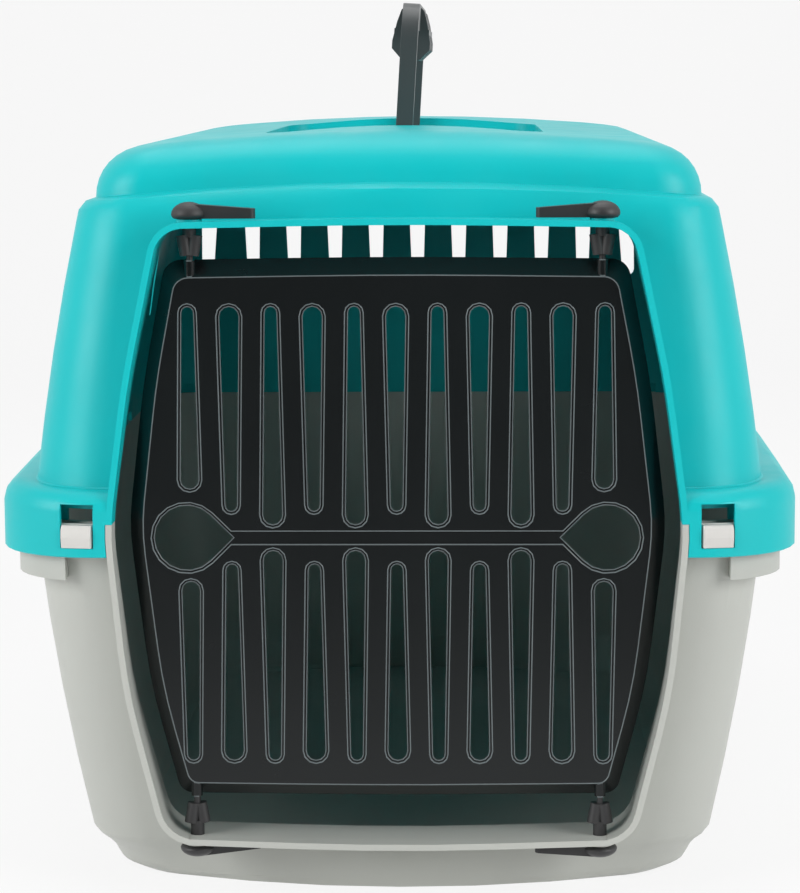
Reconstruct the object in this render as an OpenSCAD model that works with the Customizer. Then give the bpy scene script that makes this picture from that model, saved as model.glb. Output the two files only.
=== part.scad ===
// Two-shell plastic pet carrier with a slotted swing door.
// Millimetres, +Z up. The door faces -Y, and the origin is under the middle of the base.

/* [Shells] */
// Width over the middle flange
body_w = 414; // [400:1:435]
// Length over the middle flange
body_l = 610; // [570:1:660]
// Height of the middle of the roof
body_h = 396; // [390:1:404]
// Height of the joint between the two shells
split_z = 198; // [194:1:202]
// Wall thickness of both shells
wall = 3; // [2.6:0.1:3.3]
// Radius of the flange's corners, seen from above
corner_r = 52; // [48:1:58]
// How far the walls stand inside the flange
wall_inset = 11.4; // [10.8:0.1:13]
// How much wider the flange stands out at the sides than in front
side_ledge = 6.6; // [4:0.1:8]
// How far the upper wall leans in up to the shoulder
upper_lean = 21; // [17:0.5:25]
// How far the lower wall leans in down to the base fillet
lower_lean = 23.5; // [19:0.5:27]

/* [Flange] */
// Height of the flange's top above the joint
flange_up = 17; // [15:0.5:20]
// Rise of the flange's top at the middle of the sides
flange_arch = 6; // [3:0.5:8]
// How far the skirt hangs below the joint
skirt_down = 17; // [15.5:0.5:20]
// Thickness of the skirt and of the flange's top
skirt_wall = 2.8; // [2.4:0.1:3.1]

/* [Roof] */
// Rise of the roof cap from its crease
cap_rise = 28; // [24:0.5:32]
// How far the cap's rounded edge runs in
cap_run = 44; // [38:1:48]
// Fall of the roof from its middle to its sides
roof_crown = 6; // [3:0.5:7]
// Height of the shoulder's rounding under the crease
shoulder_h = 12; // [9:0.5:14]
// How far the shoulder's rounding runs in
shoulder_w = 9.4; // [7:0.2:11]
// Rise of the crease at the middle of the front
crease_arch = 8; // [4:0.5:10]

/* [Base] */
// Height of the foot that the carrier stands on
foot_h = 18; // [15:0.5:21]
// How far the foot's flat base lies inside the flange
foot_inset = 50.5; // [47:0.5:54]
// Outward bow of the foot's front and rear
foot_bow = 37; // [24:0.5:40]

/* [Doorway] */
// Half width of the doorway at its middle
door_half = 145.6; // [143:0.2:147]
// Half width of the doorway at its top
door_half_top = 118.7; // [115:0.1:121]
// Half width of the doorway at its bottom
door_half_low = 118.5; // [115:0.5:121]
// Height of the doorway's lower edge
sill_z = 34.5; // [33.5:0.5:38]
// Height of the doorway's upper edge
lintel_z = 348; // [344:0.5:350]
// Width of the bead round the doorway
bead_w = 3.2; // [2.9:0.1:3.8]
// Depth of the bead, front to back
bead_d = 5; // [4:0.5:6]
// Thickness of the doorway's collar behind the bead
collar_wall = 2.4; // [2.1:0.1:2.7]

/* [Door] */
// Gap between the door and the middle of the doorway's sides
door_gap = 7.8; // [7:0.1:9]
// Gap between the door's top and the lintel
door_gap_top = 16.5; // [16:0.5:18]
// Gap between the door's bottom and the sill
door_gap_low = 20; // [19:0.5:22]
// Thickness of the door's plate
door_wall = 2.4; // [2:0.1:3]
// Depth of the door's tray
door_depth = 9; // [8:0.5:11]
// Width of the door's sloping rim at the sides
rim_w = 7.4; // [6:0.2:8.4]
// How much wider the rim is at the door's top
rim_top = 1.2; // [0:0.1:3]
// Number of slots in a row
slot_count = 11; // [9:2:11]
// Distance between two slots
slot_pitch = 21.1; // [20:0.1:21.6]
// Width of a slot's wide end
slot_wide = 10.4; // [9:0.2:11]
// Width of a slot's narrow end
slot_narrow = 6.6; // [6:0.2:8]
// Depth of the step round each slot
slot_step = 0.9; // [0.6:0.1:1.2]
// Radius of the two finger holes
finger_r = 17; // [15:0.5:18]

/* [Door levers] */
// Distance of the levers' axes from the middle
lever_x = 104.2; // [102:0.2:106]
// Distance of the levers' axes behind the doorway's front
lever_back = 12; // [11.5:0.1:12.5]
// Diameter of a lever's neck
neck_d = 7; // [6.4:0.1:7.6]
// Diameter of a lever's pin
pin_d = 3.4; // [3:0.1:3.8]
// Wall of the door's sockets for the pins
socket_wall = 1.2; // [1:0.1:1.6]
// Diameter of a lever's dome
dome_d = 18; // [15:0.5:19]
// Height of a lever's dome
dome_h = 8.4; // [7:0.1:9]
// Length of a lever's arm from its axis
arm_l = 33.5; // [28:0.5:38]
// Radial clearance of necks, pins and pivots in their bores
run_gap = 0.08; // [0.04:0.01:0.1]

/* [Handle] */
// Length of the handle along the roof
handle_l = 232; // [215:1:245]
// Height of the handle above its pivots
handle_h = 76; // [68:0.5:82]
// Lean of the raised handle towards +X
handle_lean = 3.5; // [0:0.5:5]
// Width of the handle's legs
leg_w = 9.4; // [8:0.2:11]
// Width of the grip at its widest
grip_w = 22; // [18:0.5:23]
// Length of the ribbed grip
grip_l = 122; // [100:1:140]
// Number of ribs on the grip
rib_count = 17; // [9:2:19]
// Diameter of the handle's pivots
pivot_d = 6; // [5:0.1:7]
// Depth of the handle's recess below the roof
recess_d = 21; // [20:0.5:24]

/* [Closure clips] */
// Distance of the corner clips from the middle
clip_x = 163; // [160:0.1:165]
// Distance of the side clips from the middle of the length
side_clip_y = 118; // [90:1:150]
// Width of a clip's nose
clip_w = 15.6; // [13:0.2:16.4]

/* [Air slots] */
// Width of the air slots in the sides and the rear
vent_w = 9.8; // [8:0.2:11]
// Distance between two air slots
vent_pitch = 29.1; // [27:0.1:29.3]
// Number of air slots in the rear
rear_vents = 11; // [5:2:11]
// Number of air slots in each side
side_vents = 14; // [8:2:14]
// Lean of the outermost rear slots towards the middle
vent_lean = 2; // [0:0.5:5]
// Height of the lower end of the rear air slots
rear_vent_z = 282; // [270:1:290]
// Height of the lower end of the side air slots
side_vent_z = 262; // [250:1:275]

/* [Hidden] */
$fn = 48;
teal = [0, 0.77, 0.78];
warm_grey = [0.74, 0.75, 0.72];
clip_grey = [0.86, 0.85, 0.83];
door_black = [0.12, 0.13, 0.14];
lever_grey = [0.2, 0.2, 0.2];
handle_grey = [0.28, 0.3, 0.3];

cut = 1;                        // how far a cut runs past a face
seat_gap = 0.3;                 // air between pieces that don't bear on each other
joint_gap = 0.1;                // air in the joint between the shells
front_y = -body_l / 2;
flange_z = split_z + flange_up;
skirt_z = split_z - skirt_down;
flange_under = flange_z - skirt_wall;
wall_r = corner_r - 14;         // corner radius of the walls at the flange
upper_shrink = 0.4;             // what the upper wall's corners lose for each mm of lean
lower_shrink = 0.2;             // the same for the lower wall
roof_r = 18;                    // smallest corner radius, on the roof
roof_edge = roof_crown + 0.8;   // how far the cap's inner edge lies below the roof's middle
crease_z = body_h - roof_edge - cap_rise;
shoulder_z = crease_z - shoulder_h;
cap_full = 0.6;                 // how full the cap is: 1 is an ellipse, and less is fuller
upper_belly = 1.6;              // swell of the upper wall
lower_belly = 2;                // swell of the lower wall
arc_steps = 8;                  // facets of a corner in plan
edge_steps = 6;                 // facets of the front and rear between the corners
side_steps = 6;                 // facets of the sides between the corners
bow_share = 0.48;               // share of the foot's bow that its corners give back

// ---- outlines ---------------------------------------------------------------------------

function unit(v) = v / norm(v);
function turn_left(v) = [-v[1], v[0]];
function flat(list) = [for (a = list) for (b = a) b];

// A closed outline of [x, y, radius] corners, with each corner rounded by n facets
function corner_arc(a, b, c, r, n) =
  let (
    u = unit([a[0] - b[0], a[1] - b[1]]),
    w = unit([c[0] - b[0], c[1] - b[1]]),
    half = acos(u * w) / 2,
    centre = [b[0], b[1]] + unit(u + w) * r / sin(half),
    start = [b[0], b[1]] + u * r / tan(half) - centre,
    side = sign(u[0] * w[1] - u[1] * w[0]),
    sweep = -side * (180 - 2 * half)
  )
  [for (k = [0 : n]) let (t = sweep * k / n)
    centre + [start[0] * cos(t) - start[1] * sin(t), start[0] * sin(t) + start[1] * cos(t)]];

function rounded(v, n = 6) =
  let (m = len(v))
  flat([for (i = [0 : m - 1])
    v[i][2] > 0
      ? corner_arc(v[(i + m - 1) % m], v[i], v[(i + 1) % m], v[i][2], abs(v[i][2]) > 100 ? 3 : n)
      : [[v[i][0], v[i][1]]]]);

// The same outline moved in by d, for corners listed anticlockwise
function inset(v, d) =
  let (m = len(v))
  [for (i = [0 : m - 1])
    let (
      p = [v[i][0], v[i][1]],
      a = unit(p - [v[(i + m - 1) % m][0], v[(i + m - 1) % m][1]]),
      b = unit([v[(i + 1) % m][0], v[(i + 1) % m][1]] - p),
      na = turn_left(a),
      nb = turn_left(b),
      q = p + (na + nb) * d / (1 + na * nb)
    )
    [q[0], q[1], max(v[i][2] - d, 0.5)]];

// Rounded rectangle as an outline
function box_outline(w, h, r) =
  [[w / 2, -h / 2, r], [w / 2, h / 2, r], [-w / 2, h / 2, r], [-w / 2, -h / 2, r]];

// ---- the shells' walls --------------------------------------------------------------------

// One ring of a shell: a level is
// [height, inset from the flange, arch over the width, bow of front and rear, arch over the length]
function level_r(i, shrink) = i <= 0 ? corner_r
  : i < wall_inset - 1 ? corner_r - i
  : max(roof_r, wall_r - shrink * (i - wall_inset));
function ledge_at(i) = side_ledge * min(1, max(0, (i - flange_top_in) / (wall_inset - 0.8 - flange_top_in)));

function ring(level, r) =
  let (
    hx = body_w / 2 - level[1] - ledge_at(level[1]),
    hy = body_l / 2 - level[1],
    corners = [for (q = [0 : 3])
      let (cx = (q == 0 || q == 3 ? 1 : -1) * (hx - r), cy = (q < 2 ? 1 : -1) * (hy - r))
      [for (k = [0 : arc_steps]) let (a = 90 * (q + k / arc_steps)) [cx + r * cos(a), cy + r * sin(a)]]],
    across = [for (k = [1 : edge_steps - 1]) (hx - r) * (1 - 2 * k / edge_steps)],
    along = [for (k = [1 : side_steps - 1]) (hy - r) * (1 - 2 * k / side_steps)],
    rear = [for (x = across) [x, hy]],
    left = [for (y = along) [-hx, y]],
    front = [for (x = across) [-x, -hy]],
    right = [for (y = along) [hx, -y]],
    plan = concat(corners[0], rear, corners[1], left, corners[2], front, corners[3], right)
  )
  [for (p = plan) let (f = 1 - pow(p[0] / hx, 2), g = 1 - pow(p[1] / hy, 2))
    [p[0], p[1] + (abs(p[1]) < hy - r - 0.01 ? 0 : sign(p[1]) * level[3] * (f - bow_share)),
     level[0] + level[2] * f + level[4] * g]];

// The wall's inner side: each level moved in along the wall's own normal
function inner_side(path, t) =
  let (m = len(path))
  [for (i = [0 : m - 1])
    let (
      a = path[max(i - 1, 0)],
      b = path[min(i + 1, m - 1)],
      d = unit([b[1] - a[1], b[0] - a[0]])
    )
    [path[i][0] - t * d[0], path[i][1] + t * d[1], path[i][2], path[i][3], path[i][4]]];

// A closed solid through a chain of rings, from one cap's middle to the other's
module loft(rings, first, last) {
  n = len(rings[0]);
  m = len(rings);
  points = concat([first], flat(rings), [last]);
  sides = [for (i = [0 : m - 2]) for (k = [0 : n - 1])
    let (a = 1 + i * n + k, b = 1 + i * n + (k + 1) % n, c = a + n, d = b + n)
    each [[a, d, b], [a, c, d]]];
  start = [for (k = [0 : n - 1]) [0, 1 + k, 1 + (k + 1) % n]];
  end = [for (k = [0 : n - 1]) let (o = 1 + (m - 1) * n) [o + n, o + (k + 1) % n, o + k]];
  polyhedron(points = points, faces = concat(sides, start, end), convexity = 8);
}

upper_wall = [for (k = [0 : 4]) let (t = k / 4)
  [flange_z + 0.8 + t * (shoulder_z - flange_z - 0.8),
   wall_inset + upper_lean * t - 4 * upper_belly * t * (1 - t), 0, 0, k == 0 ? flange_arch : 0]];
shoulder_inset = wall_inset + upper_lean;
shoulder = [for (a = [30 : 30 : 90])
  [shoulder_z + shoulder_h * sin(a), shoulder_inset + shoulder_w * (1 - cos(a)), crease_arch * sin(a), 0, 0]];
cap_inset = shoulder_inset + shoulder_w + 0.4;
cap = [for (a = [0 : 10 : 90])
  [crease_z + 0.4 + (cap_rise - 0.4) * sin(a), cap_inset + cap_run * (1 - pow(max(0, cos(a)), cap_full)),
   crease_arch + (roof_crown - crease_arch) * sin(a), 0, 0]];
upper_path = concat([[split_z + joint_gap, wall_inset, 0, 0, 0]], upper_wall, shoulder, cap);

flange_top_in = 8;              // width of the flange's rounded top edge
flange = [
  [split_z + joint_gap, wall_inset, 0, 0, 0],
  [flange_under, wall_inset, 0, 0, flange_arch],
  [flange_under, skirt_wall + 4, 0, 0, flange_arch],
  [flange_under - 6, skirt_wall, 0, 0, flange_arch],
  [skirt_z, skirt_wall, 0, 0, 0],
  [skirt_z, 0.6, 0, 0, 0],
  [skirt_z + 0.6, 0, 0, 0, 0],
  [flange_z - 11, 0, 0, 0, flange_arch],
  [flange_z - 6, 1.2, 0, 0, flange_arch],
  [flange_z - 2.4, 4, 0, 0, flange_arch],
  [flange_z, flange_top_in, 0, 0, flange_arch],
  [flange_z, wall_inset - 0.8, 0, 0, flange_arch]
];

foot_shape = [[0, 0], [0.19, 3.8], [0.44, 5.6], [0.68, 7.2], [0.93, 9.8], [1.18, 13.2]];
lower_inset = wall_inset + lower_lean;
step_z = foot_h * 1.45;          // top of the step between the foot and the wall
foot = [for (f = foot_shape) let (i = foot_inset - f[1])
  [foot_h * f[0], i, 0, foot_bow * max(0, i - lower_inset) / (foot_inset - lower_inset), 0]];
lower_wall = [for (k = [0 : 4]) let (t = k / 4)
  [step_z + t * (skirt_z - step_z), lower_inset - lower_lean * t - 4 * lower_belly * t * (1 - t), 0, 0, 0]];
lower_path = concat(foot, lower_wall, [[split_z, wall_inset, 0, 0, 0]]);

function backwards(list) = [for (i = [len(list) - 1 : -1 : 0]) list[i]];
function rings_of(path, shrink) = [for (p = path) ring(p, level_r(p[1], shrink))];
function inner_rings(path, shrink) =
  let (inside = inner_side(path, wall))
  [for (i = [0 : len(path) - 1]) ring(inside[i], level_r(path[i][1], shrink) - wall)];

module upper_hull() {
  outer = concat(flange, [for (i = [1 : len(upper_path) - 1]) upper_path[i]]);
  loft(concat(backwards(inner_rings(upper_path, upper_shrink)), rings_of(outer, upper_shrink)),
    [0, 0, body_h - wall], [0, 0, body_h]);
}

module lower_hull() {
  loft(concat(rings_of(lower_path, lower_shrink), backwards(inner_rings(lower_path, lower_shrink))),
    [0, 0, 0], [0, 0, wall]);
}

// Distance of the front wall's outer face from the flange's front, at height z
function wall_in(z) = z > split_z
  ? lookup(z, [for (p = upper_path) [p[0], p[1]]])
  : lookup(z, [for (p = lower_path) [p[0], p[1]]]);

// ---- the doorway --------------------------------------------------------------------------

mid_z = split_z - 3;
arch_top = 2.2;                 // rise of the lintel at its middle
arch_low = 4;                   // drop of the sill at its middle
doorway_side = [
  [sill_z, door_half_low],
  [sill_z + 0.48 * (mid_z - sill_z), door_half_low + 0.7 * (door_half - door_half_low)],
  [mid_z, door_half],
  [mid_z + 0.49 * (lintel_z - mid_z), door_half_top + 0.62 * (door_half - door_half_top)],
  [lintel_z, door_half_top]
];
bend_r = [300, 120, 500];       // how softly the doorway's sides bend

// Outline between two heights, with a side gap and corner radii, anticlockwise. The gap grows
// by taper for each mm below the middle.
function doorway(z0, z1, gap, r0, r1, up = arch_top, down = arch_low, taper = 0) =
  let (
    x0 = lookup(z0, doorway_side) - gap + taper * (z0 - mid_z),
    x1 = lookup(z1, doorway_side) - gap + taper * (z1 - mid_z),
    right = concat([[x0, z0, r0]],
      [for (i = [1 : 3]) let (d = doorway_side[i])
        [d[1] - gap + taper * (d[0] - mid_z), d[0], bend_r[i - 1]]],
      [[x1, z1, r1]]),
    left = [for (i = [4 : -1 : 0]) [-right[i][0], right[i][1], right[i][2]]]
  )
  concat(right, [[0, z1 + up, 0.45 * x1 * x1 / up]], left, [[0, z0 - down, 0.45 * x0 * x0 / down]]);

hole = doorway(sill_z, lintel_z, 0, 18, 15);

// Extrudes an outline of x and z from y0 to y1
module along_y(y0, y1) {
  translate([0, y1, 0]) rotate([90, 0, 0]) linear_extrude(y1 - y0) children();
}

// Extrudes an outline of y and z across x, from -w / 2 to w / 2
module across_x(w) {
  translate([-w / 2, 0, 0]) rotate([90, 0, 90]) linear_extrude(w) children();
}

module doorway_cut(grow = 0) {
  along_y(front_y - 4 * cut, front_y + wall_in(lintel_z) + 5 * wall)
    polygon(rounded(inset(hole, -grow)));
}

// The collar in front of the wall, between two heights
module doorway_collar(z0, z1) {
  steps = [for (k = [0 : 8]) z0 + (z1 - z0) * k / 8];
  reach = concat([for (z = steps) [front_y + wall_in(z) + wall / 2, z]], [[front_y, z1], [front_y, z0]]);
  width = 2 * (door_half + bead_w + cut);
  intersection() {
    union() {
      along_y(front_y, front_y + 60) ring_2d(collar_wall);
      along_y(front_y, front_y + bead_d) ring_2d(bead_w);
    }
    across_x(width) polygon(reach);
  }
}

module ring_2d(t) {
  difference() {
    polygon(rounded(inset(hole, -t)));
    polygon(rounded(hole));
  }
}

// ---- the levers' seats in the collar --------------------------------------------------------

axis_y = front_y + lever_back;
function lintel_at(x) = lintel_z + arch_top * (1 - abs(x) / lookup(lintel_z, doorway_side));
function sill_at(x) = sill_z - arch_low * (1 - abs(x) / lookup(sill_z, doorway_side));
top_face = lintel_at(lever_x) + collar_wall;      // what the upper levers stand on
low_face = sill_at(lever_x) - collar_wall;        // what the lower levers hang from
seat_h_top = 1.8;               // raised seat under an upper lever's dome
seat_h_low = 2.8;               // raised seat over a lower lever's dome
clip_h_top = 3.6;               // height of the fingers round an upper neck
clip_h_low = 6;                 // height of the fingers round a lower neck
cup_h = 2.4;                    // rim of those fingers round the foot of the lobes
finger_w = 19;                  // width over the two fingers

// Raised seat outside the collar and fingers inside it; z = 0 is the collar's outer face
module lever_seat(fingers, seat_h, cup = 0) {
  depth = 11;
  translate([0, 0, -0.5]) cylinder(d = neck_d + 6, h = seat_h + 0.5);
  translate([-finger_w / 2, -depth / 2, -collar_wall - fingers - cup])
    cube([finger_w, depth, fingers + cup + collar_wall / 2]);
}

// Bore for the neck, open to the front between the fingers
module lever_bore(fingers, seat_h, cup = 0) {
  r = neck_d / 2 + run_gap;
  low = -collar_wall - fingers;
  translate([0, 0, low - cut]) cylinder(r = r, h = fingers + collar_wall + seat_h + 2 * cut);
  translate([-r, -finger_w, low - cut]) cube([2 * r, finger_w, fingers + cut]);
  if (cup > 0) translate([0, 0, low - cup - cut]) cylinder(r = lobe_r + 3 * seat_gap, h = cup + cut);
}

module at_top_levers() {
  for (s = [-1, 1]) translate([s * lever_x, axis_y, top_face]) children();
}

module at_low_levers() {
  for (s = [-1, 1]) translate([s * lever_x, axis_y, low_face]) mirror([0, 0, 1]) children();
}

// ---- closure clips --------------------------------------------------------------------------

window_side = 0.9;              // air at each side of a clip's nose
window_w = clip_w + 2 * window_side;
nose_low = skirt_z + 5;         // underside of a clip's nose
nose_h = 11.6;
window_top = flange_under - 4;
plate_t = 2;                    // back plate of a clip
plate_w = clip_w + 5;
plate_low = skirt_z + 2.7;
plate_top = nose_low + nose_h + 0.4;
notch_h = 6.4;                  // height of the gap over a clip, through to the cabin
frame_d = 0.8;                  // shallow frame pressed in round a window
ledge_t = 2;                    // pocket that a clip slides in
cheek_t = 2;

// Turn of the corner clips, so that they follow the flange's round corner
clip_turn = asin((clip_x - body_w / 2 + corner_r) / corner_r);
// Sag of the skirt's round corner over half a width
function sag(half) = (corner_r - skirt_wall) - sqrt(pow(corner_r - skirt_wall, 2) - half * half);
ledge_w = plate_w + 2 * (seat_gap + cheek_t);
plate_y = skirt_wall + seat_gap + sag(plate_w / 2);
ledge_y = skirt_wall + seat_gap + sag(ledge_w / 2);

// Places a clip's part at the skirt: ends are 1 in front and -1 at the rear
module at_corner(side, end) {
  mirror([0, end < 0 ? 1 : 0, 0]) mirror([side < 0 ? 1 : 0, 0, 0])
    translate([body_w / 2 - corner_r, front_y + corner_r, 0]) rotate([0, 0, clip_turn])
      translate([0, -corner_r, 0]) children();
}

module at_side(side, end) {
  mirror([0, end < 0 ? 1 : 0, 0]) mirror([side < 0 ? 1 : 0, 0, 0])
    translate([body_w / 2, -side_clip_y, 0]) rotate([0, 0, 90]) children();
}

module at_clips() {
  for (side = [-1, 1]) for (end = [-1, 1]) {
    at_corner(side, end) children();
    at_side(side, end) children();
  }
}

module clip_window() {
  translate([-window_w / 2, -cut, nose_low - 0.2])
    cube([window_w, skirt_wall + 3 * cut, window_top - nose_low + 0.2]);
  translate([-window_w / 2, skirt_wall + cut, split_z - cut])
    cube([window_w, wall_inset + side_ledge + wall, notch_h + cut]);
  translate([-window_w / 2 - 1.7, -cut, nose_low + 3.2])
    cube([window_w + 3.4, cut + frame_d, window_top - nose_low - 0.6]);
}

// Pocket on the lower shell that carries a clip: a ledge and two cheeks
module clip_pocket(extra) {
  depth = wall_inset + extra + 2.5 - ledge_y;
  low = plate_low - seat_gap - ledge_t;
  translate([-ledge_w / 2, ledge_y, low]) cube([ledge_w, depth, ledge_t]);
  for (s = [-1, 1])
    translate([s * (ledge_w - cheek_t) / 2 - cheek_t / 2, ledge_y, low])
      cube([cheek_t, depth, split_z - 2 - low]);
}

// A closure clip at its window; y = 0 is the skirt's front face
module closure_clip() {
  back = plate_y + plate_t / 2;
  nose = [
    [back, nose_low],
    [-0.4, nose_low],
    [-1.4, nose_low + 0.45 * nose_h],
    [-1.0, nose_low + 0.82 * nose_h],
    [0.6, nose_low + nose_h],
    [back, nose_low + nose_h]
  ];
  color(clip_grey) {
    across_x(clip_w) polygon(nose);
    translate([-plate_w / 2, plate_y, plate_low]) cube([plate_w, plate_t, plate_top - plate_low]);
  }
}

// ---- corner lugs under the flange -----------------------------------------------------------

lug_in = 5.6;                   // how far the lugs stand inside the flange
lug_h = 13;                     // height of the lugs below the skirt's edge
lug_front = 37;                 // reach of a lug from the corner along the front
lug_side = 62;                  // reach of a lug from the corner along the side

module corner_lugs() {
  outline = box_outline(body_w - 2 * lug_in - side_ledge * 0.6, body_l - 2 * lug_in, corner_r - lug_in);
  inside = box_outline(body_w - 2 * (wall_inset + side_ledge) - wall, body_l - 2 * wall_inset - wall,
    wall_r - wall / 2);
  intersection() {
    translate([0, 0, skirt_z - lug_h]) linear_extrude(lug_h + 1.5) difference() {
      polygon(rounded(outline, arc_steps));
      polygon(rounded(inside, arc_steps));
    }
    for (sx = [-1, 1]) for (sy = [-1, 1])
      translate([sx * (body_w - lug_front) / 2, sy * (body_l - lug_side) / 2, skirt_z])
        cube([lug_front, lug_side, 3 * lug_h], center = true);
  }
}

// ---- roof recess and handle -----------------------------------------------------------------

pivot_z = body_h - 8;
recess_floor = body_h - recess_d;
recess_w = 2 * (handle_h + 3);
recess_l = handle_l + 2 * seat_gap;
recess_r = 16;
tub_top = body_h - wall / 2;    // the recess's walls end inside the roof's wall
tub_fall = roof_edge * recess_w / (body_w / 2 - side_ledge - cap_inset - cap_run);
pivot_l = 6;                    // length of each pivot stub
boss_d = pivot_d + 6;

module recess_tub() {
  intersection() {
    translate([0, 0, recess_floor - wall])
      linear_extrude(recess_d + 2 * wall)
        polygon(rounded(box_outline(recess_w + 2 * wall, recess_l + 2 * wall, recess_r + wall)));
    along_y(-recess_l, recess_l)
      polygon([[-recess_w, 0], [recess_w, 0], [recess_w, tub_top - tub_fall], [0, tub_top], [-recess_w, tub_top - tub_fall]]);
  }
  for (s = [-1, 1])
    translate([0, s * (recess_l / 2 + wall / 2), pivot_z]) rotate([-90 * s, 0, 0])
      cylinder(d = boss_d, h = pivot_l + wall);
}

module recess_cut() {
  translate([0, 0, recess_floor])
    linear_extrude(recess_d + 4 * cut)
      polygon(rounded(box_outline(recess_w, recess_l, recess_r)));
  for (s = [-1, 1])
    translate([0, s * (recess_l / 2 - cut), pivot_z]) rotate([-90 * s, 0, 0])
      cylinder(r = pivot_d / 2 + run_gap, h = pivot_l + cut + seat_gap);
}

// ---- air slots --------------------------------------------------------------------------------

rear_vent_top = shoulder_z - 22;
side_vent_top = shoulder_z - 26;
vent_spread = 3;                // how much further out the outermost rear slots stand

// Outline of a slot with round ends: lower end at z0, upper end at z1, leaning by dx
function slot_outline(z0, w0, z1, w1, dx = 0, n = 6) = concat(
  [for (k = [0 : n]) let (a = 180 + 180 * k / n) [w0 / 2 * cos(a), z0 + w0 / 2 + w0 / 2 * sin(a)]],
  [for (k = [0 : n]) let (a = 180 * k / n) [dx + w1 / 2 * cos(a), z1 - w1 / 2 + w1 / 2 * sin(a)]]);

module rear_vent_cuts() {
  half = (rear_vents - 1) / 2;
  lean = [for (i = [-half : half]) abs(i) < half ? 0 : -sign(i) * vent_lean];
  for (i = [-half : half])
    translate([i * vent_pitch + (abs(i) < half ? 0 : sign(i) * vent_spread), 0, 0])
      along_y(-front_y - 70, -front_y + cut)
        polygon(slot_outline(rear_vent_z, vent_w * 0.86, rear_vent_top, vent_w * 1.1, lean[i + half]));
}

module side_vent_cuts() {
  half = (side_vents - 1) / 2;
  for (i = [-half : half])
    translate([0, i * vent_pitch, 0])
      across_x(body_w)
        polygon(slot_outline(side_vent_z, vent_w * 0.86, side_vent_top, vent_w * 1.05));
}

// ---- pieces -----------------------------------------------------------------------------------

module upper_shell() {
  color(teal)
    difference() {
      union() {
        upper_hull();
        doorway_collar(split_z + joint_gap, lintel_z + arch_top + bead_w + cut);
        at_top_levers() lever_seat(clip_h_top, seat_h_top);
        recess_tub();
      }
      intersection() {
        doorway_cut();
        translate([-body_w / 2, front_y - 5 * cut, split_z - cut]) cube([body_w, 90, body_h]);
      }
      intersection() {
        doorway_cut(bead_w + seat_gap);
        translate([-body_w / 2, front_y - 5 * cut, split_z + joint_gap - 100]) cube([body_w, 90, 100]);
      }
      at_top_levers() lever_bore(clip_h_top, seat_h_top);
      at_clips() clip_window();
      recess_cut();
      rear_vent_cuts();
      side_vent_cuts();
    }
}

module lower_shell() {
  color(warm_grey)
    difference() {
      union() {
        lower_hull();
        doorway_collar(sill_z - arch_low - bead_w - cut, split_z);
        at_low_levers() lever_seat(clip_h_low, seat_h_low, cup_h);
        for (side = [-1, 1]) for (end = [-1, 1]) {
          at_corner(side, end) clip_pocket(0);
          at_side(side, end) clip_pocket(side_ledge);
        }
        corner_lugs();
      }
      intersection() {
        doorway_cut();
        translate([-body_w / 2, front_y - 5 * cut, 0]) cube([body_w, 90, split_z + cut]);
      }
      at_low_levers() lever_bore(clip_h_low, seat_h_low, cup_h);
    }
}

// ---- door ---------------------------------------------------------------------------------------

door_low = sill_z + door_gap_low;
door_top = lintel_z - door_gap_top;
door_face = axis_y - 3.3;       // front face of the door's plate
tube_r = pin_d / 2 + socket_wall;
tube_l = 13.5;
door_edge = doorway(door_low, door_top, door_gap, 8, 10, 1.5, 1.2, 0.02);
groove_z = mid_z - 5;           // middle groove and finger holes
groove_h = 7;
finger_x = lever_x + 3;
finger_tip = 24;                // from a finger hole's middle to its point
slot_top = door_top - 23;
slot_low = door_low + 19;
slot_mid_gap = 7;               // solid band above and below the groove

door_front = doorway(door_low + rim_w, door_top - rim_w - rim_top, door_gap + rim_w, 6, 8, 1.5, 1.2, 0.02);

module door_tray(shrink) {
  hull() {
    along_y(door_face + shrink, door_face + shrink + 0.2) polygon(rounded(inset(door_front, shrink * 0.5)));
    along_y(door_face + door_depth - 0.2 + shrink, door_face + door_depth + shrink)
      polygon(rounded(inset(door_edge, shrink * 1.1)));
  }
}

// Slots of one row: odd ones widen to one end and even ones to the other
module door_slots(grow, y0, y1) {
  half = (slot_count - 1) / 2;
  for (i = [-half : half]) {
    odd = abs(i) % 2 == half % 2;
    end = abs(i) == half;
    wide = (end ? slot_wide * 0.94 : slot_wide) + 2 * grow;
    narrow = slot_narrow + 2 * grow;
    up_low = groove_z + groove_h / 2 + (end ? finger_r + 4.5 : odd ? slot_mid_gap - 4 : slot_mid_gap + 3);
    down_top = groove_z - groove_h / 2 - (end ? finger_r + 2 : odd ? slot_mid_gap - 4 : slot_mid_gap + 3);
    translate([i * slot_pitch, 0, 0]) {
      along_y(y0, y1)
        polygon(slot_outline(up_low - grow, odd ? wide : narrow, slot_top + grow, odd ? narrow : wide));
      along_y(y0, y1)
        polygon(slot_outline(slot_low - grow, odd ? narrow : wide, down_top + grow, odd ? wide : narrow));
    }
  }
}

// Eye-shaped finger hole with its point towards the middle
function eye(r, tip, n = 14) =
  let (a = acos(r / tip))
  concat([[tip, 0]], [for (k = [0 : n]) let (t = a + (360 - 2 * a) * k / n) [r * cos(t), r * sin(t)]]);

module finger_holes(grow, y0, y1) {
  for (s = [0, 1]) mirror([s, 0, 0])
    translate([-finger_x, 0, groove_z]) along_y(y0, y1) polygon(eye(finger_r + grow, finger_tip + grow * 1.5));
}

// Sockets for the levers' pins; the hinge side is at +X, and the other side's are open at the back
module pin_tubes() {
  for (s = [-1, 1]) {
    translate([s * lever_x, axis_y, door_top - tube_l]) cylinder(r = tube_r, h = tube_l);
    translate([s * lever_x, axis_y, door_low]) cylinder(r = tube_r, h = tube_l);
  }
}

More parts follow.
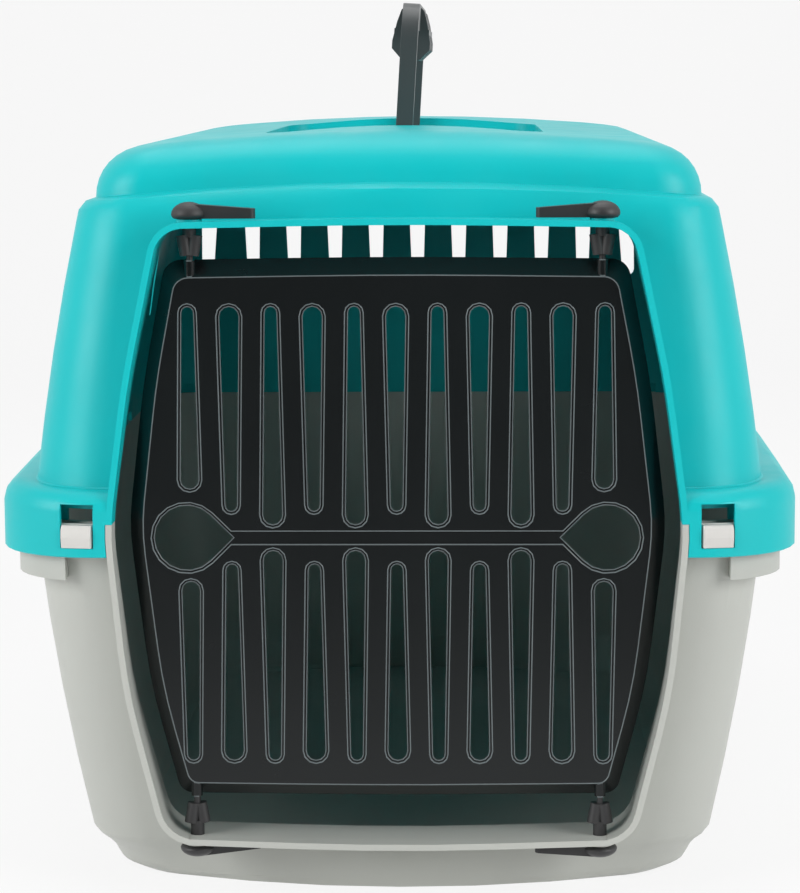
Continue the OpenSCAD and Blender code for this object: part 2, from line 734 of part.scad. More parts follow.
module pin_bores() {
  r = pin_d / 2 + run_gap;
  for (s = [-1, 1])
    for (z = [door_top - tube_l + 1.5, door_low - cut])
      translate([s * lever_x, axis_y, z]) {
        cylinder(r = r, h = tube_l + cut - 1.5);
        if (s < 0) translate([-r, 0, 0]) cube([2 * r, door_depth + 5 * cut, tube_l + cut - 1.5]);
      }
}

module door_panel() {
  inner_y = door_face + door_wall;
  color(door_black)
    difference() {
      union() {
        difference() {
          door_tray(0);
          door_tray(door_wall);
        }
        pin_tubes();
      }
      pin_bores();
      door_slots(0, door_face - cut, inner_y + cut);
      door_slots(1.4, door_face - cut, door_face + slot_step);
      finger_holes(0, door_face - cut, inner_y + cut);
      finger_holes(1.4, door_face - cut, door_face + slot_step);
      translate([-finger_x + finger_tip - 2, door_face - cut, groove_z - groove_h / 2])
        cube([2 * (finger_x - finger_tip + 2), cut + slot_step, groove_h]);
    }
}

// ---- levers -------------------------------------------------------------------------------------

arm_w = 9;                      // width of a lever's arm at its root
arm_tip = 7.4;                  // width of a lever's arm at its tip
arm_t = 4.8;                    // thickness of the arm at its tip
arm_root = 7.4;                 // thickness of the arm at the dome
lobe_h = 10.4;                  // height of the two lobes under a neck
lobe_tilt = 8;                  // how far they lean in
lobe_r = 6.8;                   // reach of the lobes from the axis
low_share = 0.74;               // height of the lower domes and arms against the upper ones

// A lever over its seat, with its arm along +X. drop is from the collar's outer face to the
// neck's end, and reach from there to the pin's end.
module lever(fingers, seat_h, reach, k = 1) {
  neck = collar_wall + fingers + seat_gap;
  base = seat_h + seat_gap;
  dome = [for (a = [-30 : 15 : 90]) [dome_d / 2 * cos(a), base + k * (a < 0 ? 2 + 4 * sin(a) : 2 + (dome_h - 2) * sin(a))]];
  arm = [
    [0, -arm_w / 2, 0.5], [arm_l, -arm_tip / 2, 2.4], [arm_l, arm_tip / 2, 2.4], [0, arm_w / 2, 0.5]
  ];
  arm_side = [
    [0, base, 0], [arm_l + cut, base, 0], [arm_l + cut, base + arm_t * k, 0], [0, base + arm_root * k, 0]
  ];
  color(lever_grey) {
    rotate_extrude() polygon(concat([[0, base]], dome));
    intersection() {
      translate([0, 0, base - cut]) linear_extrude(dome_h + cut) polygon(rounded(arm));
      along_y(-dome_d, dome_d) polygon(rounded(arm_side));
    }
    translate([0, 0, -neck - 1]) cylinder(d = neck_d, h = neck + 1 + base + 1);
    for (s = [-1, 1])
      translate([s * (lobe_r - 3.6), 0, -neck]) rotate([0, s * lobe_tilt, 0]) translate([0, 0, -lobe_h])
        cylinder(r1 = 3.1, r2 = 3.6, h = lobe_h);
    translate([0, 0, -neck - reach]) cylinder(d = pin_d, h = reach + 1);
  }
}

// Length from a neck's end to the end of its pin in the door's socket
top_reach = lintel_at(lever_x) - clip_h_top - seat_gap - (door_top - tube_l + 1.5 + seat_gap);
low_reach = door_low + tube_l - 1.5 - seat_gap - (sill_at(lever_x) + clip_h_low + seat_gap);
rest_swivel = 14;               // how far the lower left lever stands off its parked place

module lever_top_left() { translate([-lever_x, axis_y, top_face]) lever(clip_h_top, seat_h_top, top_reach); }
module lever_top_right() {
  translate([lever_x, axis_y, top_face]) rotate([0, 0, 180]) lever(clip_h_top, seat_h_top, top_reach);
}
module lever_bottom_left() {
  translate([-lever_x, axis_y, low_face]) mirror([0, 0, 1]) rotate([0, 0, rest_swivel])
    lever(clip_h_low, seat_h_low, low_reach, low_share);
}
module lever_bottom_right() {
  translate([lever_x, axis_y, low_face]) mirror([0, 0, 1]) rotate([0, 0, 180]) lever(clip_h_low, seat_h_low, low_reach, low_share);
}

// ---- handle -------------------------------------------------------------------------------------

leg_t = 12;                     // thickness of the handle along its length
bar_h = 15;                     // height of the bar inside the grip
grip_h = 32;

// Cross-section of the grip: narrow and round on top, widest low down
function grip_section(w, h) = [
  [w * 0.22, 0], [w * 0.5, h * 0.2], [w * 0.5, h * 0.34], [w * 0.4, h * 0.68], [w * 0.3, h * 0.9], [w * 0.14, h],
  [-w * 0.14, h], [-w * 0.3, h * 0.9], [-w * 0.4, h * 0.68], [-w * 0.5, h * 0.34], [-w * 0.5, h * 0.2],
  [-w * 0.22, 0]
];

module carry_handle() {
  hl = handle_l / 2 - seat_gap;
  arch = [
    [hl, -leg_w / 2, 4], [hl, handle_h, 20], [-hl, handle_h, 20], [-hl, -leg_w / 2, 4],
    [-hl + leg_t, -leg_w / 2, 4], [-hl + leg_t, handle_h - bar_h, 12],
    [hl - leg_t, handle_h - bar_h, 12], [hl - leg_t, -leg_w / 2, 4]
  ];
  rib_pitch = (grip_l - 3) / (rib_count - 1);
  band_z = handle_h - grip_h * 0.56;
  color(handle_grey)
    translate([0, 0, pivot_z]) rotate([0, handle_lean, 0]) {
      translate([-leg_w / 2, 0, 0]) rotate([90, 0, 90]) linear_extrude(leg_w) polygon(rounded(arch));
      along_y(-grip_l / 2, grip_l / 2)
        translate([0, handle_h - grip_h + 1]) polygon(grip_section(grip_w - 7, grip_h - 2.5));
      for (i = [0 : rib_count - 1])
        translate([0, -grip_l / 2 + 1.5 + i * rib_pitch, handle_h - grip_h])
          along_y(-1.5, 1.5) polygon(grip_section(grip_w, grip_h));
      translate([-grip_w * 0.46, -grip_l / 2, band_z]) cube([grip_w * 0.92, grip_l, 4]);
      for (s = [-1, 1])
        translate([0, s * (hl - 1), 0]) rotate([-90 * s, 0, 0]) cylinder(d = pivot_d, h = pivot_l + 1);
    }
}

// ---- clips --------------------------------------------------------------------------------------

module clip_front_left() { at_corner(-1, 1) closure_clip(); }
module clip_front_right() { at_corner(1, 1) closure_clip(); }
module clip_rear_left() { at_corner(-1, -1) closure_clip(); }
module clip_rear_right() { at_corner(1, -1) closure_clip(); }
module clip_side_front_left() { at_side(-1, 1) closure_clip(); }
module clip_side_front_right() { at_side(1, 1) closure_clip(); }
module clip_side_rear_left() { at_side(-1, -1) closure_clip(); }
module clip_side_rear_right() { at_side(1, -1) closure_clip(); }

lower_shell();
upper_shell();
door_panel();
lever_top_left();
lever_top_right();
lever_bottom_left();
lever_bottom_right();
carry_handle();
clip_front_left();
clip_front_right();
clip_rear_left();
clip_rear_right();
clip_side_front_left();
clip_side_front_right();
clip_side_rear_left();
clip_side_rear_right();
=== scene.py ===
# A two-shell plastic pet carrier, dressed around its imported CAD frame.
# Every length is in metres, in the frame of the CAD model: +Z up, the door towards -Y.

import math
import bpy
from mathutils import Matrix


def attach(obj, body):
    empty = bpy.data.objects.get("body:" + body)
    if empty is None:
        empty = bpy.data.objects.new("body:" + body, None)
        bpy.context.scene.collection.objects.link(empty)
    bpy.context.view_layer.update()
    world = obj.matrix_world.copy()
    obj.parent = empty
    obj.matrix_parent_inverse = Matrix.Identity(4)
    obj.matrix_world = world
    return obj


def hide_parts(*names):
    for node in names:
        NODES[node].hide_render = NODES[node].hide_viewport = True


bl_info = {
    "name": "Two-Shell Pet Carrier",
    "version": (1, 0, 0),
    "blender": (4, 5, 0),
    "location": "3D View > Sidebar > Carrier",
    "description": "Moulded shells, slotted door, levers, clips and handle of a pet carrier",
    "category": "Object",
}

import bmesh
import bpy
from bpy.props import FloatProperty, FloatVectorProperty, IntProperty, PointerProperty
from mathutils import Matrix, Vector

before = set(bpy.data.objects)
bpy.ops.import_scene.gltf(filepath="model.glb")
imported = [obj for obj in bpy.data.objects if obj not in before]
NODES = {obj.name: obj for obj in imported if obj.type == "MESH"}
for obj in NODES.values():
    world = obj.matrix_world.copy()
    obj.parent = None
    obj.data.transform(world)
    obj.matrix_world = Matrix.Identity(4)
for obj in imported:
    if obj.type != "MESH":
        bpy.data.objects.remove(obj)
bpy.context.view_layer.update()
MM = 0.001

# tolerances for a node's loose triangles
MERGE = 0.002 * MM
SLIVER = 0.001 * MM
FLAT_DEGREES = 0.2

SHARP_DEGREES = 35.0    # an edge that turns more than this is rounded or gets a bead
FRONT_FACING = -0.9     # a face whose normal's Y is below this looks forward

# webs in the rear windows: their size, and their place at +X, from part.scad's clip_x, wall and split_z
WEB_SIZE = (18.0 * MM, 2.0 * MM, 7.0 * MM)
WEB_AT = (163.0 * MM, 291.9 * MM, 201.3 * MM)

# noise is mostly between these two levels
NOISE_LOW, NOISE_HIGH = 0.3, 0.7

# the studio: floor, curve up to the backdrop, and the paper's tone
FLOOR_FRONT, FLOOR_BACK, FLOOR_WIDTH = -4.0, 2.2, 10.0
CURVE_RADIUS, BACKDROP_TOP = 0.8, 5.0
PAPER_TONE = 0.86
PAPER_GLOW = 0.84       # share of the paper's own light, as camera, gloss and glass see it
DARK_SIDE = 0.05        # what reflections keep of the floor and sky on the camera's side
DARK_SKY = 0.3          # what diffuse light keeps of the sky there
FLOOR_FADE = (-1.3, -0.3)    # Y on the floor, from dark to full
SKY_FADE = (-0.9, -0.35)     # Y of a direction in the sky, from dark to full

CAMERA_AT = (0.0389, -1.72, 0.427)
CAMERA_PITCH, CAMERA_YAW, CAMERA_ROLL = 7.6, 1.49, -0.28    # degrees
SENSOR_WIDTH = 36.0


def srgb(red, green, blue):
    """A display colour of 0 to 255 as the linear colour that shaders take."""
    def linear(value):
        value /= 255.0
        return value / 12.92 if value <= 0.04045 else ((value + 0.055) / 1.055) ** 2.4
    return (linear(red), linear(green), linear(blue))


# ---- settings ---------------------------------------------------------------------------------


class CarrierFinish(bpy.types.PropertyGroup):
    """Colours and gloss of the carrier's plastics."""

    upper_colour: FloatVectorProperty(
        name="Upper shell", description="Colour of the roof shell's plastic",
        subtype="COLOR", size=3, min=0, max=1, default=srgb(0, 192, 196))
    lower_colour: FloatVectorProperty(
        name="Lower shell", description="Colour of the base shell's plastic",
        subtype="COLOR", size=3, min=0, max=1, default=srgb(188, 190, 184))
    door_colour: FloatVectorProperty(
        name="Door", description="Colour of the door's plastic",
        subtype="COLOR", size=3, min=0, max=1, default=srgb(20, 24, 25))
    # painted highlight: the bead's paler colour stands in for the light that the door's rounded edges catch
    door_edge_highlight_colour: FloatVectorProperty(
        name="Door edges", description="Paler colour of the bead, for the look of lit edges",
        subtype="COLOR", size=3, min=0, max=1, default=srgb(104, 112, 114))
    lever_colour: FloatVectorProperty(
        name="Levers", description="Colour of the four levers",
        subtype="COLOR", size=3, min=0, max=1, default=srgb(46, 46, 47))
    clip_colour: FloatVectorProperty(
        name="Clips", description="Colour of the closure clips",
        subtype="COLOR", size=3, min=0, max=1, default=srgb(214, 212, 208))
    handle_colour: FloatVectorProperty(
        name="Handle", description="Colour of the carrying handle",
        subtype="COLOR", size=3, min=0, max=1, default=srgb(66, 70, 71))
    shell_roughness: FloatProperty(
        name="Shell roughness", description="Roughness of both shells",
        subtype="FACTOR", min=0.05, max=1, default=0.42)
    door_roughness: FloatProperty(
        name="Door roughness", description="Roughness of the polished door",
        subtype="FACTOR", min=0.05, max=1, default=0.24)


class CarrierSizes(bpy.types.PropertyGroup):
    """Sizes of the fine forms that the moulds leave on the carrier."""

    edge_round: FloatProperty(
        name="Edge rounding", description="Rounding of the shells' edges",
        unit="LENGTH", min=0, max=0.002, default=0.7 * MM)
    door_round: FloatProperty(
        name="Door edge rounding", description="Rounding of the door's slots and rim",
        unit="LENGTH", min=0, max=0.002, default=0.7 * MM)
    small_round: FloatProperty(
        name="Small edge rounding", description="Rounding of the levers, clips and handle",
        unit="LENGTH", min=0, max=0.002, default=0.5 * MM)
    # the bead carries the door's painted highlight along its slots and rim
    highlight_bead_radius: FloatProperty(
        name="Slot bead", description="Radius of the fine bead round the door's slots",
        unit="LENGTH", min=0.0001, max=0.001, default=0.36 * MM)
    round_steps: IntProperty(
        name="Rounding steps", description="Facets of each rounded edge", min=1, max=6, default=3)


class CarrierStage(bpy.types.PropertyGroup):
    """Camera and light of the studio."""

    lens: FloatProperty(
        name="Lens", description="Focal length on a 36 mm frame", subtype="DISTANCE_CAMERA",
        min=20, max=300, default=114.09)
    key_power: FloatProperty(
        name="Key light", description="Power of the broad front light", unit="POWER",
        min=0, max=500, default=42)
    top_power: FloatProperty(
        name="Top light", description="Power of the broad top light", unit="POWER",
        min=0, max=500, default=20)
    sky: FloatProperty(
        name="Sky", description="Strength of the even light from all around", subtype="FACTOR",
        min=0, max=1, default=0.3)
    bounce: FloatProperty(
        name="Floor bounce", description="Share of light that the lit floor gives back", subtype="FACTOR",
        min=0, max=1, default=0.25)


# ---- finishes ---------------------------------------------------------------------------------


def node_of(tree, kind, at, **values):
    node = tree.nodes.new(kind)
    node.location = at
    for key, value in values.items():
        setattr(node, key, value)
    return node


def moulded_plastic(name, colour, roughness, grain, depth, mottle=0.06, specular=0.5):
    """Moulded plastic: an eroded grain, slow drifts of colour and slight changes of gloss."""
    material = bpy.data.materials.new(name)
    material.use_nodes = True
    material.diffuse_color = (*colour, 1)
    tree = material.node_tree
    link = tree.links.new
    shader = tree.nodes["Principled BSDF"]
    shader.inputs["Specular IOR Level"].default_value = specular
    place = node_of(tree, "ShaderNodeTexCoord", (-1400, 0))

    drift = node_of(tree, "ShaderNodeTexNoise", (-1100, 300))
    drift.inputs["Scale"].default_value = 9.0
    drift.inputs["Detail"].default_value = 4.0
    link(place.outputs["Object"], drift.inputs["Vector"])
    shade = node_of(tree, "ShaderNodeMapRange", (-850, 300))
    shade.inputs["From Min"].default_value = NOISE_LOW
    shade.inputs["From Max"].default_value = NOISE_HIGH
    shade.inputs["To Min"].default_value = 1 - mottle
    shade.inputs["To Max"].default_value = 1 + mottle * 0.6
    link(drift.outputs["Fac"], shade.inputs["Value"])
    tone = node_of(tree, "ShaderNodeHueSaturation", (-600, 300))
    tone.inputs["Color"].default_value = (*colour, 1)
    link(shade.outputs["Result"], tone.inputs["Value"])
    link(tone.outputs["Color"], shader.inputs["Base Color"])

    wear = node_of(tree, "ShaderNodeTexNoise", (-1100, 0))
    wear.inputs["Scale"].default_value = 34.0
    wear.inputs["Detail"].default_value = 6.0
    wear.inputs["Roughness"].default_value = 0.62
    link(place.outputs["Object"], wear.inputs["Vector"])
    gloss = node_of(tree, "ShaderNodeMapRange", (-850, 0))
    gloss.inputs["From Min"].default_value = NOISE_LOW
    gloss.inputs["From Max"].default_value = NOISE_HIGH
    gloss.inputs["To Min"].default_value = roughness * 0.86
    gloss.inputs["To Max"].default_value = roughness * 1.16
    link(wear.outputs["Fac"], gloss.inputs["Value"])
    link(gloss.outputs["Result"], shader.inputs["Roughness"])

    cells = node_of(tree, "ShaderNodeTexVoronoi", (-1100, -300), feature="SMOOTH_F1")
    cells.inputs["Scale"].default_value = 1 / grain
    cells.inputs["Smoothness"].default_value = 0.6
    link(place.outputs["Object"], cells.inputs["Vector"])
    fine = node_of(tree, "ShaderNodeTexNoise", (-1100, -560))
    fine.inputs["Scale"].default_value = 0.5 / grain
    fine.inputs["Detail"].default_value = 3.0
    link(place.outputs["Object"], fine.inputs["Vector"])
    height = node_of(tree, "ShaderNodeMath", (-850, -400), operation="MULTIPLY_ADD")
    height.inputs[1].default_value = 0.6
    link(cells.outputs["Distance"], height.inputs[0])
    link(fine.outputs["Fac"], height.inputs[2])
    relief = node_of(tree, "ShaderNodeBump", (-600, -400))
    relief.inputs["Strength"].default_value = 0.5
    relief.inputs["Distance"].default_value = depth
    link(height.outputs["Value"], relief.inputs["Height"])
    link(relief.outputs["Normal"], shader.inputs["Normal"])
    return material


def dress(piece, material, body):
    piece.data.materials.clear()
    piece.data.materials.append(material)
    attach(piece, body)
    return piece


# ---- shapes -----------------------------------------------------------------------------------


def object_from(bm, name):
    mesh = bpy.data.meshes.new(name)
    bm.to_mesh(mesh)
    bm.free()
    piece = bpy.data.objects.new(name, mesh)
    bpy.context.scene.collection.objects.link(piece)
    return piece


def joined_copy(node):
    """A node's mesh with its loose triangles joined and its flat faces made one."""
    bm = bmesh.new()
    bm.from_mesh(NODES[node].data)
    bmesh.ops.remove_doubles(bm, verts=bm.verts, dist=MERGE)
    bmesh.ops.dissolve_degenerate(bm, edges=bm.edges, dist=SLIVER)
    flat = math.radians(FLAT_DEGREES)
    bmesh.ops.dissolve_limit(bm, angle_limit=flat, verts=bm.verts, edges=bm.edges)
    return bm


def moulded_skin(node, name, rounding, steps, sharp=SHARP_DEGREES):
    """The node's form with softened edges, as it leaves the mould."""
    piece = object_from(joined_copy(node), name)
    mesh = piece.data
    mesh.shade_smooth()
    mesh.set_sharp_from_angle(angle=math.radians(sharp))
    bevel = piece.modifiers.new("edges", "BEVEL")
    bevel.limit_method = "ANGLE"
    bevel.angle_limit = math.radians(sharp)
    bevel.width = rounding
    bevel.segments = steps
    bevel.use_clamp_overlap = True
    bevel.harden_normals = True
    normals = piece.modifiers.new("normals", "WEIGHTED_NORMAL")
    normals.keep_sharp = True
    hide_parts(node)
    return piece


def front_highlight_beads(node, name, radius, sharp=SHARP_DEGREES):
    """A fine bead along every sharp edge of the node's front faces, to carry a painted highlight."""
    bm = joined_copy(node)
    bm.normal_update()
    thin = bmesh.new()
    made = {}
    for edge in bm.edges:
        if len(edge.link_faces) != 2:
            continue
        normals = [face.normal for face in edge.link_faces]
        if min(normal.y for normal in normals) > FRONT_FACING:
            continue
        if normals[0].angle(normals[1], 0.0) < math.radians(sharp):
            continue
        ends = []
        for vert in edge.verts:
            if vert.index not in made:
                made[vert.index] = thin.verts.new(vert.co)
            ends.append(made[vert.index])
        thin.edges.new(ends)
    bm.free()
    bead = object_from(thin, name)
    bpy.ops.object.select_all(action="DESELECT")
    bead.select_set(True)
    bpy.context.view_layer.objects.active = bead
    bpy.ops.object.convert(target="CURVE")
    bead = bpy.context.view_layer.objects.active
    bead.data.bevel_depth = radius
    bead.data.bevel_resolution = 1
    bead.data.use_fill_caps = True
    bpy.ops.object.convert(target="MESH")
    bead = bpy.context.view_layer.objects.active
    bead.name = name
    bead.data.shade_smooth()
    return bead


# ---- operators --------------------------------------------------------------------------------


class CARRIER_OT_finishes(bpy.types.Operator):
    """Makes the carrier's plastics"""

    bl_idname = "carrier.finishes"
    bl_label = "Finishes"

    def execute(self, context):
        look = context.scene.carrier_finish
        moulded_plastic("teal_shell", look.upper_colour, look.shell_roughness, 0.55 * MM, 0.05 * MM, 0.03,
                        specular=0.36)
        moulded_plastic("grey_shell", look.lower_colour, look.shell_roughness * 1.1, 0.55 * MM, 0.05 * MM,
                        0.03)
        moulded_plastic("door_plastic", look.door_colour, look.door_roughness, 0.9 * MM, 0.02 * MM,
                        0.12, specular=0.36)
        # the paler plastic of the door's edge beads is a painted highlight, not the door's own colour
        moulded_plastic("door_edge_painted_highlight", look.door_edge_highlight_colour, look.door_roughness, 0.9 * MM, 0.02 * MM,
                        0.12, specular=0.36)
        moulded_plastic("lever_plastic", look.lever_colour, 0.5, 0.4 * MM, 0.05 * MM, 0.1)
        moulded_plastic("clip_plastic", look.clip_colour, 0.45, 0.5 * MM, 0.03 * MM, 0.03)
        moulded_plastic("handle_plastic", look.handle_colour, 0.36, 0.45 * MM, 0.04 * MM, 0.08)
        return {"FINISHED"}


class CARRIER_OT_lower_shell(bpy.types.Operator):
    """Models the base shell"""

    bl_idname = "carrier.lower_shell"
    bl_label = "Lower shell"

    def execute(self, context):
        size = context.scene.carrier_sizes
        shell = moulded_skin("lower_shell", "base_shell", size.edge_round, size.round_steps)
        dress(shell, bpy.data.materials["grey_shell"], "carrier")
        return {"FINISHED"}


class CARRIER_OT_upper_shell(bpy.types.Operator):
    """Models the roof shell"""

    bl_idname = "carrier.upper_shell"
    bl_label = "Upper shell"

    def execute(self, context):
        size = context.scene.carrier_sizes
        shell = moulded_skin("upper_shell", "roof_shell", size.edge_round, size.round_steps)
        dress(shell, bpy.data.materials["teal_shell"], "carrier")
        # guessed webs that close the rear windows above their clips, where the solids let light through
        bm = bmesh.new()
        for side in (-1, 1):
            web = bmesh.ops.create_cube(bm, size=1.0)["verts"]
            bmesh.ops.scale(bm, verts=web, vec=WEB_SIZE)
            bmesh.ops.translate(bm, verts=web, vec=(side * WEB_AT[0], WEB_AT[1], WEB_AT[2]))
        webs = object_from(bm, "rear_window_webs")
        dress(webs, bpy.data.materials["teal_shell"], "carrier")
        return {"FINISHED"}


class CARRIER_OT_door(bpy.types.Operator):
    """Models the slotted door"""

    bl_idname = "carrier.door"
    bl_label = "Door"

    def execute(self, context):
        size = context.scene.carrier_sizes
        door = moulded_skin("door_panel", "slotted_door", size.door_round, size.round_steps)
        dress(door, bpy.data.materials["door_plastic"], "door")
        # paler beads on the door's front edges: a painted highlight where the rounded edges catch the side
        # lights
        beads = front_highlight_beads("door_panel", "slot_edge_painted_highlights", size.highlight_bead_radius)
        dress(beads, bpy.data.materials["door_edge_painted_highlight"], "door")
        return {"FINISHED"}


class CARRIER_OT_levers(bpy.types.Operator):
    """Models the four door levers"""

    bl_idname = "carrier.levers"
    bl_label = "Levers"

    def execute(self, context):
        size = context.scene.carrier_sizes
        for level in ("top", "bottom"):
            for side in ("left", "right"):
                node = "lever_%s_%s" % (level, side)
                lever = moulded_skin(node, node + "_skin", size.small_round, 2)
                dress(lever, bpy.data.materials["lever_plastic"], node + "_body")
        return {"FINISHED"}


class CARRIER_OT_handle(bpy.types.Operator):
    """Models the carrying handle"""

    bl_idname = "carrier.handle"
    bl_label = "Handle"

    def execute(self, context):
        size = context.scene.carrier_sizes
        handle = moulded_skin("carry_handle", "grip_handle", size.small_round, 2)
        dress(handle, bpy.data.materials["handle_plastic"], "handle")
        return {"FINISHED"}


class CARRIER_OT_clips(bpy.types.Operator):
    """Models the closure clips"""

    bl_idname = "carrier.clips"
    bl_label = "Clips"

    def execute(self, context):
        size = context.scene.carrier_sizes
        for node in sorted(n for n in NODES if n.startswith("clip_")):
            clip = moulded_skin(node, node + "_skin", size.small_round, 3)
            dress(clip, bpy.data.materials["clip_plastic"], node + "_body")
        return {"FINISHED"}


class CARRIER_OT_stage(bpy.types.Operator):
    """Sets the floor, the light and the camera"""

    bl_idname = "carrier.stage"
    bl_label = "Stage"

    def execute(self, context):
        stage = context.scene.carrier_stage
        scene = context.scene
        # floor that curves up into the backdrop
        bm = bmesh.new()
        profile = [Vector((0, FLOOR_FRONT, 0)), Vector((0, FLOOR_BACK, 0))]
        for degrees in range(10, 91, 10):
            turn = math.radians(degrees)
            profile.append(Vector((0, FLOOR_BACK + CURVE_RADIUS * math.sin(turn),
                                   CURVE_RADIUS - CURVE_RADIUS * math.cos(turn))))
        profile.append(Vector((0, FLOOR_BACK + CURVE_RADIUS, BACKDROP_TOP)))
        points = [bm.verts.new(p + Vector((-FLOOR_WIDTH / 2, 0, 0))) for p in profile]
        edges = [bm.edges.new(pair) for pair in zip(points, points[1:])]
        side = bmesh.ops.extrude_edge_only(bm, edges=edges)["geom"]
        far = [item for item in side if isinstance(item, bmesh.types.BMVert)]
        bmesh.ops.translate(bm, verts=far, vec=(FLOOR_WIDTH, 0, 0))
        bmesh.ops.recalc_face_normals(bm, faces=bm.faces)
        floor = object_from(bm, "floor")
        floor.data.shade_smooth()
        paper = bpy.data.materials.new("white_paper")
        paper.use_nodes = True
        tree = paper.node_tree
        tree.nodes.clear()
        ray = tree.nodes.new("ShaderNodeLightPath")
        seen = node_of(tree, "ShaderNodeMath", (-600, 200), operation="ADD", use_clamp=True)
        seen_all = node_of(tree, "ShaderNodeMath", (-450, 200), operation="ADD", use_clamp=True)
        tree.links.new(ray.outputs["Is Camera Ray"], seen.inputs[0])
        tree.links.new(ray.outputs["Is Glossy Ray"], seen.inputs[1])
        tree.links.new(seen.outputs[0], seen_all.inputs[0])
        tree.links.new(ray.outputs["Is Transmission Ray"], seen_all.inputs[1])
        # the paper is lit for the camera, and reflections fade towards the dark side of the studio
        place = node_of(tree, "ShaderNodeTexCoord", (-1000, -100))
        axes = node_of(tree, "ShaderNodeSeparateXYZ", (-800, -100))
        tree.links.new(place.outputs["Object"], axes.inputs["Vector"])
        fade = node_of(tree, "ShaderNodeMapRange", (-600, -100), interpolation_type="SMOOTHSTEP")
        fade.inputs["From Min"].default_value = FLOOR_FADE[0]
        fade.inputs["From Max"].default_value = FLOOR_FADE[1]
        fade.inputs["To Min"].default_value = DARK_SIDE
        tree.links.new(axes.outputs["Y"], fade.inputs["Value"])
        lit = node_of(tree, "ShaderNodeMath", (-450, 0), operation="MAXIMUM")
        tree.links.new(ray.outputs["Is Camera Ray"], lit.inputs[0])
        tree.links.new(fade.outputs["Result"], lit.inputs[1])
        unseen = node_of(tree, "ShaderNodeMath", (-300, 0), operation="SUBTRACT")
        unseen.inputs[0].default_value = 1.0
        tree.links.new(seen_all.outputs[0], unseen.inputs[1])
        strength = node_of(tree, "ShaderNodeMath", (-150, 0), operation="MAXIMUM")
        tree.links.new(lit.outputs[0], strength.inputs[0])
        tree.links.new(unseen.outputs[0], strength.inputs[1])
        share = node_of(tree, "ShaderNodeMapRange", (-150, 200))
        share.inputs["To Min"].default_value = stage.bounce
        share.inputs["To Max"].default_value = PAPER_GLOW
        tree.links.new(seen_all.outputs[0], share.inputs["Value"])
        matt = tree.nodes.new("ShaderNodeBsdfDiffuse")
        matt.inputs["Color"].default_value = (PAPER_TONE, PAPER_TONE, PAPER_TONE, 1)
        glow = tree.nodes.new("ShaderNodeEmission")
        tree.links.new(strength.outputs[0], glow.inputs["Strength"])
        mix = tree.nodes.new("ShaderNodeMixShader")
        out = tree.nodes.new("ShaderNodeOutputMaterial")
        tree.links.new(share.outputs["Result"], mix.inputs["Fac"])
        tree.links.new(matt.outputs[0], mix.inputs[1])
        tree.links.new(glow.outputs[0], mix.inputs[2])
        tree.links.new(mix.outputs[0], out.inputs["Surface"])
        floor.data.materials.append(paper)

        world = bpy.data.worlds.new("studio")
        scene.world = world
        world.use_nodes = True
        tree = world.node_tree
        tree.nodes.clear()
        ray = tree.nodes.new("ShaderNodeLightPath")
        seen = node_of(tree, "ShaderNodeMath", (-600, 200), operation="ADD", use_clamp=True)
        seen_all = node_of(tree, "ShaderNodeMath", (-450, 200), operation="ADD", use_clamp=True)
        tree.links.new(ray.outputs["Is Camera Ray"], seen.inputs[0])
        tree.links.new(ray.outputs["Is Glossy Ray"], seen.inputs[1])
        tree.links.new(seen.outputs[0], seen_all.inputs[0])
        tree.links.new(ray.outputs["Is Transmission Ray"], seen_all.inputs[1])
        place = node_of(tree, "ShaderNodeTexCoord", (-1000, -100))
        axes = node_of(tree, "ShaderNodeSeparateXYZ", (-800, -100))
        tree.links.new(place.outputs["Generated"], axes.inputs["Vector"])
        fade = node_of(tree, "ShaderNodeMapRange", (-600, -100), interpolation_type="SMOOTHSTEP")
        fade.inputs["From Min"].default_value = SKY_FADE[0]
        fade.inputs["From Max"].default_value = SKY_FADE[1]
        fade.inputs["To Min"].default_value = DARK_SIDE
        tree.links.new(axes.outputs["Y"], fade.inputs["Value"])
        lit = node_of(tree, "ShaderNodeMath", (-450, 0), operation="MAXIMUM")
        tree.links.new(ray.outputs["Is Camera Ray"], lit.inputs[0])
        tree.links.new(fade.outputs["Result"], lit.inputs[1])
        gleam = node_of(tree, "ShaderNodeMath", (-300, 0), operation="MULTIPLY")
        tree.links.new(seen_all.outputs[0], gleam.inputs[0])
        tree.links.new(lit.outputs[0], gleam.inputs[1])
        unseen = node_of(tree, "ShaderNodeMath", (-300, 200), operation="SUBTRACT")
        unseen.inputs[0].default_value = 1.0
        tree.links.new(seen_all.outputs[0], unseen.inputs[1])
        dim = node_of(tree, "ShaderNodeMapRange", (-450, -200))
        dim.inputs["To Min"].default_value = stage.sky * DARK_SKY
        dim.inputs["To Max"].default_value = stage.sky
        tree.links.new(fade.outputs["Result"], dim.inputs["Value"])
        level = node_of(tree, "ShaderNodeMath", (-150, 200), operation="MULTIPLY_ADD")
        tree.links.new(unseen.outputs[0], level.inputs[0])
        tree.links.new(dim.outputs["Result"], level.inputs[1])
        tree.links.new(gleam.outputs[0], level.inputs[2])
        sky = tree.nodes.new("ShaderNodeBackground")
        sky.inputs["Color"].default_value = (1, 1, 1, 1)
        out = tree.nodes.new("ShaderNodeOutputWorld")
        tree.links.new(level.outputs[0], sky.inputs["Strength"])
        tree.links.new(sky.outputs[0], out.inputs["Surface"])

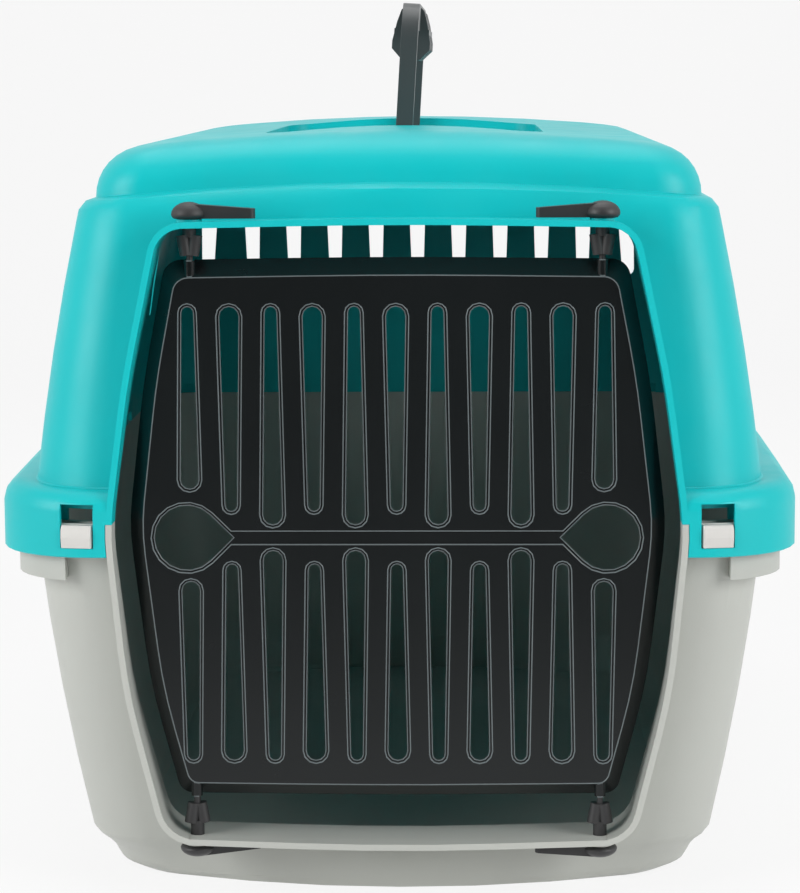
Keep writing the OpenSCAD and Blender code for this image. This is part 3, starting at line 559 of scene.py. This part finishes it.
        for name, power, at, aim, size in (
                ("key_light", stage.key_power, (-2.1, -1.7, 1.2), (0, -0.2, 0.2), 1.5),
                ("fill_light", stage.key_power, (2.1, -1.7, 1.2), (0, -0.2, 0.2), 1.5),
                ("top_light", stage.top_power, (0, 0.3, 2.4), (0, 0, 0.2), 1.8)):
            lamp = bpy.data.lights.new(name, "AREA")
            lamp.energy = power
            lamp.size = size
            holder = bpy.data.objects.new(name, lamp)
            holder.location = at
            holder.rotation_euler = (Vector(aim) - Vector(at)).to_track_quat("-Z", "Y").to_euler()
            scene.collection.objects.link(holder)

        lens = bpy.data.cameras.new("photo_view")
        lens.lens = stage.lens
        lens.sensor_width = SENSOR_WIDTH
        lens.sensor_fit = "AUTO"
        camera = bpy.data.objects.new("photo_view", lens)
        pitch, yaw, roll = (math.radians(a) for a in (CAMERA_PITCH, CAMERA_YAW, CAMERA_ROLL))
        look = (Matrix.Rotation(yaw, 4, "Z") @ Matrix.Rotation(math.pi / 2 - pitch, 4, "X")
                @ Matrix.Rotation(roll, 4, "Z"))
        camera.matrix_world = Matrix.Translation(CAMERA_AT) @ look
        scene.collection.objects.link(camera)
        scene.camera = camera
        scene.view_settings.view_transform = "Standard"
        return {"FINISHED"}


class CARRIER_PT_panel(bpy.types.Panel):
    """Lists the carrier's settings and pieces"""

    bl_idname = "CARRIER_PT_panel"
    bl_label = "Pet carrier"
    bl_space_type = "VIEW_3D"
    bl_region_type = "UI"
    bl_category = "Carrier"

    def draw(self, context):
        layout = self.layout
        for group in (context.scene.carrier_finish, context.scene.carrier_sizes, context.scene.carrier_stage):
            box = layout.box()
            for key in group.bl_rna.properties.keys():
                if key not in ("rna_type", "name"):
                    box.prop(group, key)
        for operator in OPERATORS:
            layout.operator(operator.bl_idname)


GROUPS = (CarrierFinish, CarrierSizes, CarrierStage)
OPERATORS = (
    CARRIER_OT_finishes, CARRIER_OT_lower_shell, CARRIER_OT_upper_shell, CARRIER_OT_door,
    CARRIER_OT_levers, CARRIER_OT_handle, CARRIER_OT_clips, CARRIER_OT_stage,
)
CLASSES = GROUPS + OPERATORS + (CARRIER_PT_panel,)


def register():
    for cls in CLASSES:
        bpy.utils.register_class(cls)
    bpy.types.Scene.carrier_finish = PointerProperty(type=CarrierFinish)
    bpy.types.Scene.carrier_sizes = PointerProperty(type=CarrierSizes)
    bpy.types.Scene.carrier_stage = PointerProperty(type=CarrierStage)


def unregister():
    del bpy.types.Scene.carrier_stage
    del bpy.types.Scene.carrier_sizes
    del bpy.types.Scene.carrier_finish
    for cls in reversed(CLASSES):
        bpy.utils.unregister_class(cls)


def main():
    register()
    for operator in OPERATORS:
        area, name = operator.bl_idname.split(".")
        getattr(getattr(bpy.ops, area), name)()


if __name__ == "__main__":
    main()
